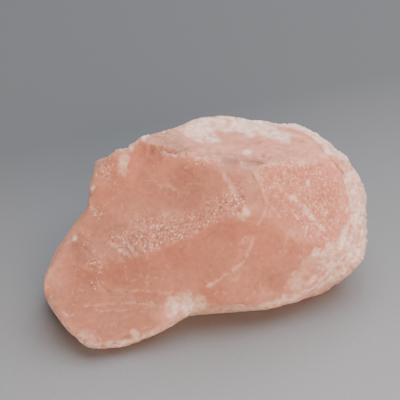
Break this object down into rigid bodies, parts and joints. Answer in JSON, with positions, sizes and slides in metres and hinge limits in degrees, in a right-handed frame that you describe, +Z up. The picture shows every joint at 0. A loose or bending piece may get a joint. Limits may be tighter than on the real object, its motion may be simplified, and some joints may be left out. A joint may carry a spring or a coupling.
{
  "type": "morganite crystal",
  "caption": "Rough palm-sized piece of cloudy pink morganite with broken faces, shell-shaped hollows, a low toe and a whitish weathered rim, flat underneath.",
  "frame": {"origin": "centre of the footprint box, on the surface the stone rests on", "axes": "+X along the long side, away from the low toe; +Y towards the rough back; +Z up from the flat broken underside"},
  "size_m": [0.05, 0.0284, 0.0231],
  "materials": {
    "morganite": "cloudy translucent salmon-pink beryl, satin to glassy broken faces, whitish matt rim"
  },
  "bodies": {
    "root": {"morganite_crystal": "morganite"}
  },
  "joints": []
}
